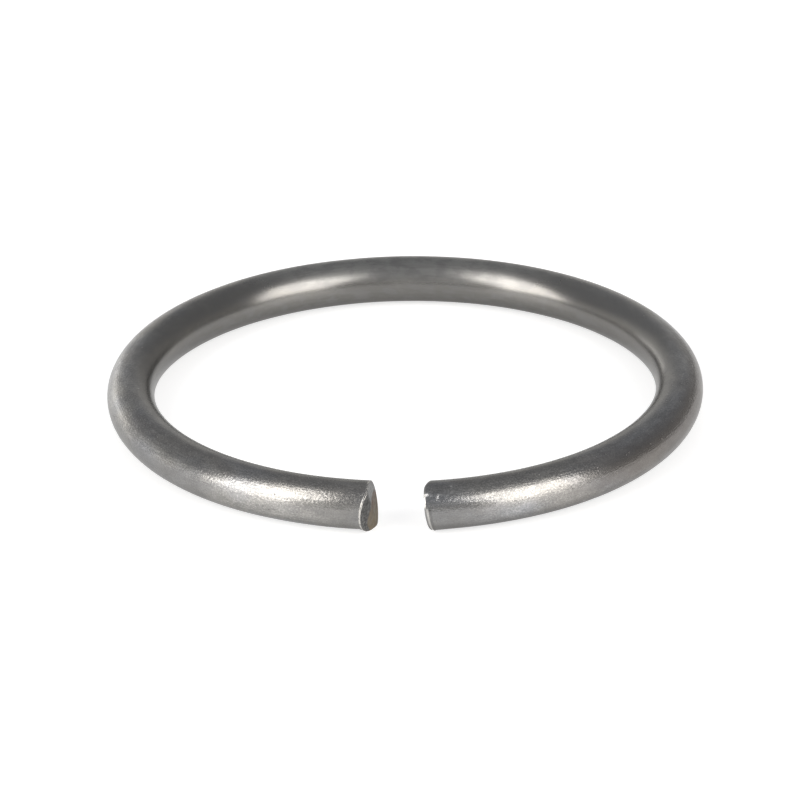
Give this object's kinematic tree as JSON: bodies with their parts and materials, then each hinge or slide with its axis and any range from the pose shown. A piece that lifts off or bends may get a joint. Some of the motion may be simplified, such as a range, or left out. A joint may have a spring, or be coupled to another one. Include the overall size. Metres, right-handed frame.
{
  "type": "wire retaining ring",
  "caption": "Open spring ring of round steel wire with sheared ends, sprung into a shaft groove to stop parts sliding along the shaft.",
  "frame": {"origin": "centre of the ring, in the middle plane of the wire", "axes": "+Z square to the plane of the ring, along the shaft it is sprung onto; the gap between the ends is on the -Y side"},
  "size_m": [0.0252, 0.0252, 0.002],
  "materials": {
    "wire": "dark satin, drawn wire with fine lengthwise streaks and pits"
  },
  "bodies": {
    "root": {"ring": "wire"}
  },
  "joints": []
}
